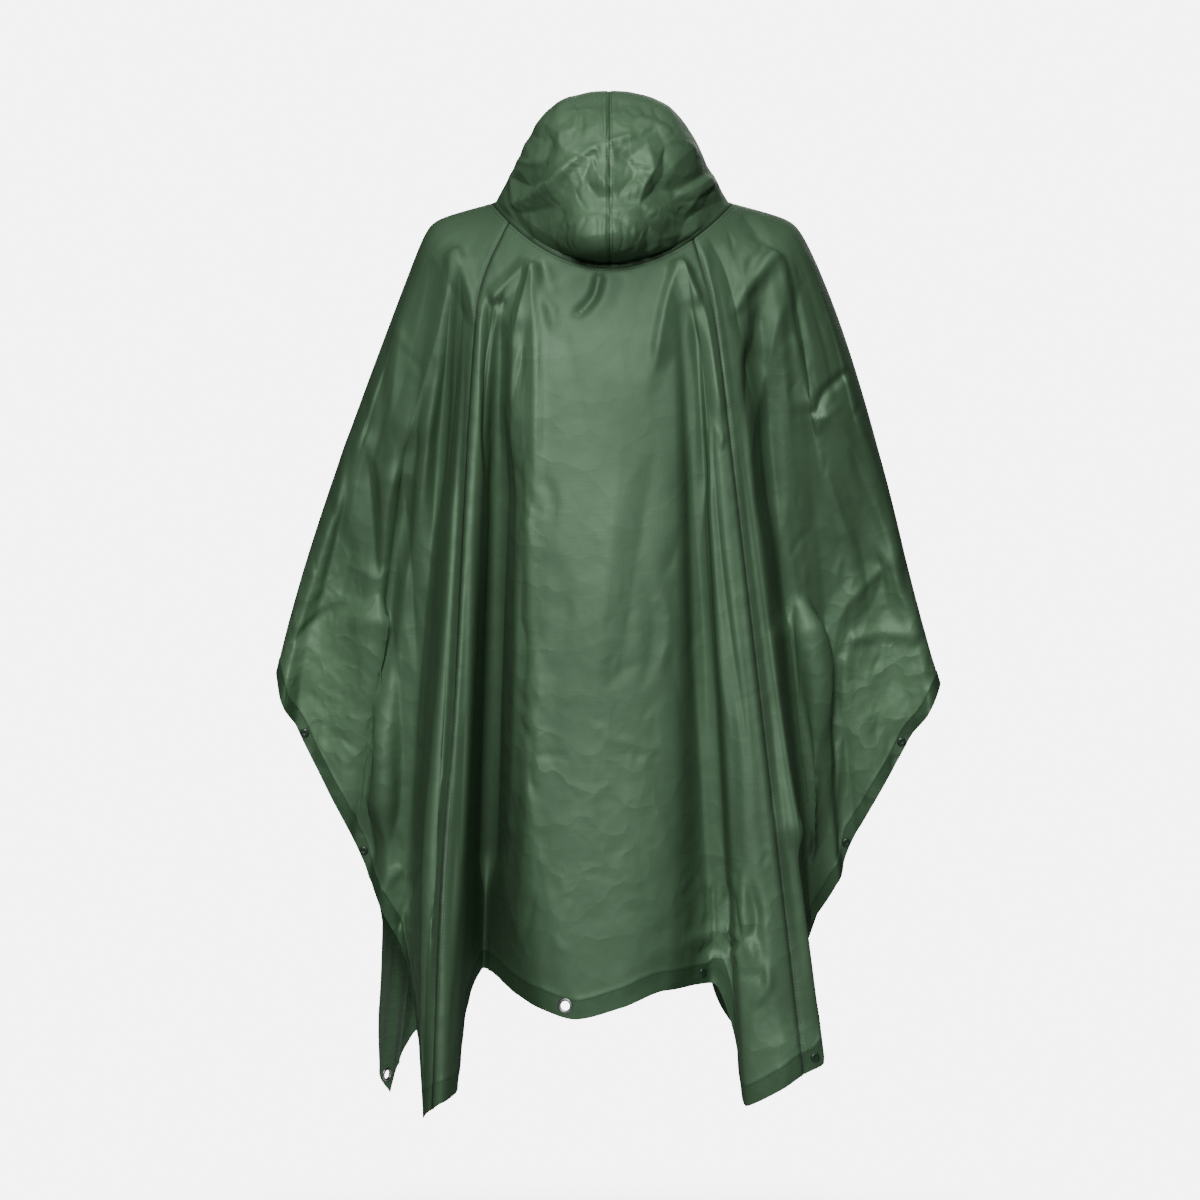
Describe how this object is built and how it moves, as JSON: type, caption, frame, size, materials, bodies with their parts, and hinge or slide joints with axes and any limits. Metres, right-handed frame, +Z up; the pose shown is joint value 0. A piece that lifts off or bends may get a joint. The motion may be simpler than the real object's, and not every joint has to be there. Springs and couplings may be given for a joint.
{
  "type": "hooded rain poncho",
  "caption": "Full-length hooded rain poncho shaped as worn with nobody inside: open hood, neck, cuffs and hem, panels seamed from neck to corners, press studs and eyelets.",
  "frame": {"origin": "middle of the neck hole, level with the tops of the shoulders, where the wearer's neck and shoulders carry the poncho", "axes": "+Z up, towards the crown of the hood; the wearer faces -Y, so +Y comes out of the back; +X is the wearer's left"},
  "size_m": [0.8174, 0.4364, 1.2489],
  "materials": {
    "coated_nylon": "soft satin, coated on the outside",
    "lacquered_stud": "dark green lacquer, semi-gloss",
    "eyelet_metal": "plain, slightly dulled"
  },
  "bodies": {
    "root": {"back_panel": "coated_nylon", "front_panel": "coated_nylon", "side_panel_left": "coated_nylon", "side_panel_right": "coated_nylon", "hood_left": "coated_nylon", "hood_right": "coated_nylon", "stud_left_high_socket": "lacquered_stud", "stud_left_high_ball": "lacquered_stud", "stud_left_low_socket": "lacquered_stud", "stud_left_low_ball": "lacquered_stud", "stud_right_high_socket": "lacquered_stud", "stud_right_high_ball": "lacquered_stud", "stud_right_low_socket": "lacquered_stud", "stud_right_low_ball": "lacquered_stud", "stud_back_hem": "lacquered_stud", "stud_back_corner": "lacquered_stud", "eyelet_back": "eyelet_metal", "eyelet_front_corner": "eyelet_metal"}
  },
  "joints": []
}
